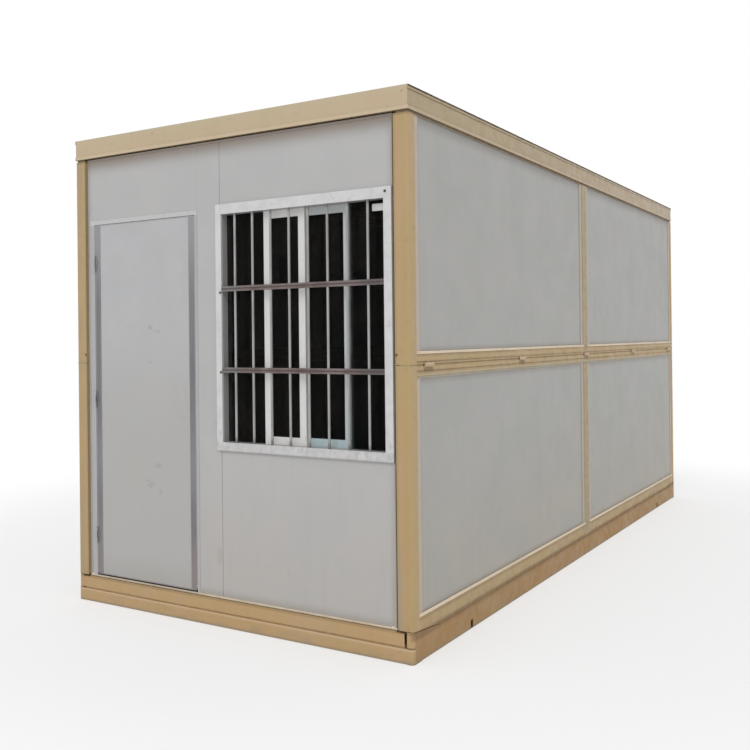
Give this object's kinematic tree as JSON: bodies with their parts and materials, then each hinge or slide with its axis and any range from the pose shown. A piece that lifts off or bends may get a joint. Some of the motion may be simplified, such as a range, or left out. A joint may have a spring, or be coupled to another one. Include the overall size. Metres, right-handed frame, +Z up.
{
  "type": "folding container house",
  "caption": "Steel-framed cabin with sandwich panel walls that folds flat: side walls hinged at mid height, end walls that swing up, a door and a barred window.",
  "frame": {"origin": "on the ground under the middle of the cabin", "axes": "+Z up, +Y from the front end wall with the door to the rear, +X towards the right side wall as seen from the front"},
  "size_m": [2.272, 5.0633, 2.7],
  "materials": {
    "base_paint": "satin paint, weathered",
    "roof_paint": "satin paint, weathered",
    "frame_paint": "satin paint, weathered",
    "dark_steel": "primer",
    "floor_board": "plain board",
    "rubber_seal": "matte",
    "zinc_steel": "zinc plated",
    "side_panel_skin": "matt coated sheet",
    "end_panel_skin": "matt coated sheet",
    "roof_panel_skin": "matt coated sheet",
    "door_skin": "matt coated sheet",
    "cream_track": "cream powder coat",
    "grey_trim": "satin",
    "door_aluminium": "satin",
    "white_frame": "white profile",
    "window_glass": "clear, dark room behind",
    "bar_steel": "dull, rusty in places"
  },
  "bodies": {
    "house": {"base_side_beams": "base_paint", "base_end_beams": "base_paint", "floor_joists": "dark_steel", "floor_boards": "floor_board", "base_seals": "rubber_seal", "right_lower_frame": "frame_paint", "right_lower_panels": "side_panel_skin", "right_upper_frame": "frame_paint", "right_upper_panels": "side_panel_skin", "right_fold_pins": "zinc_steel", "left_lower_frame": "frame_paint", "left_lower_panels": "side_panel_skin", "left_upper_frame": "frame_paint", "left_upper_panels": "side_panel_skin", "left_fold_pins": "zinc_steel", "roof_seals": "rubber_seal", "roof_side_beams": "roof_paint", "roof_end_beams": "roof_paint", "roof_purlins": "roof_paint", "roof_panels": "roof_panel_skin", "front_hinge_brackets": "frame_paint", "rear_hinge_brackets": "frame_paint"},
    "front_wall": {"front_wall_outer_panel": "end_panel_skin", "front_wall_over_door_panel": "end_panel_skin", "front_wall_middle_panel": "end_panel_skin", "front_wall_window_panel": "end_panel_skin", "front_wall_bottom_track": "cream_track", "front_wall_edge_tracks": "grey_trim", "front_wall_hinge_leaves": "frame_paint", "door_casing": "grey_trim", "door_hinge_pins": "zinc_steel", "window_lining": "grey_trim", "window_left_sash": "white_frame", "window_right_sash": "white_frame", "window_glass": "window_glass", "grille_frame": "white_frame", "security_bars": "bar_steel"},
    "door": {"door_panel": "door_skin", "door_edging": "door_aluminium"},
    "rear_wall": {"rear_wall_left_panel": "end_panel_skin", "rear_wall_right_panel": "end_panel_skin", "rear_wall_bottom_track": "cream_track", "rear_wall_edge_tracks": "grey_trim", "rear_wall_hinge_leaves": "frame_paint"}
  },
  "joints": [
    {"name": "front_wall_swing", "type": "hinge", "parent": "house", "child": "front_wall", "pos_m": [0, -2.453, 2.568], "axis": [1, 0, 0], "range_deg": [0, 90]},
    {"name": "rear_wall_swing", "type": "hinge", "parent": "house", "child": "rear_wall", "pos_m": [0, 2.453, 2.568], "axis": [-1, 0, 0], "range_deg": [0, 90]},
    {"name": "door_swing", "type": "hinge", "parent": "front_wall", "child": "door", "pos_m": [-0.9765, -2.5273, 1.2], "axis": [0, 0, -1], "range_deg": [0, 95]}
  ]
}
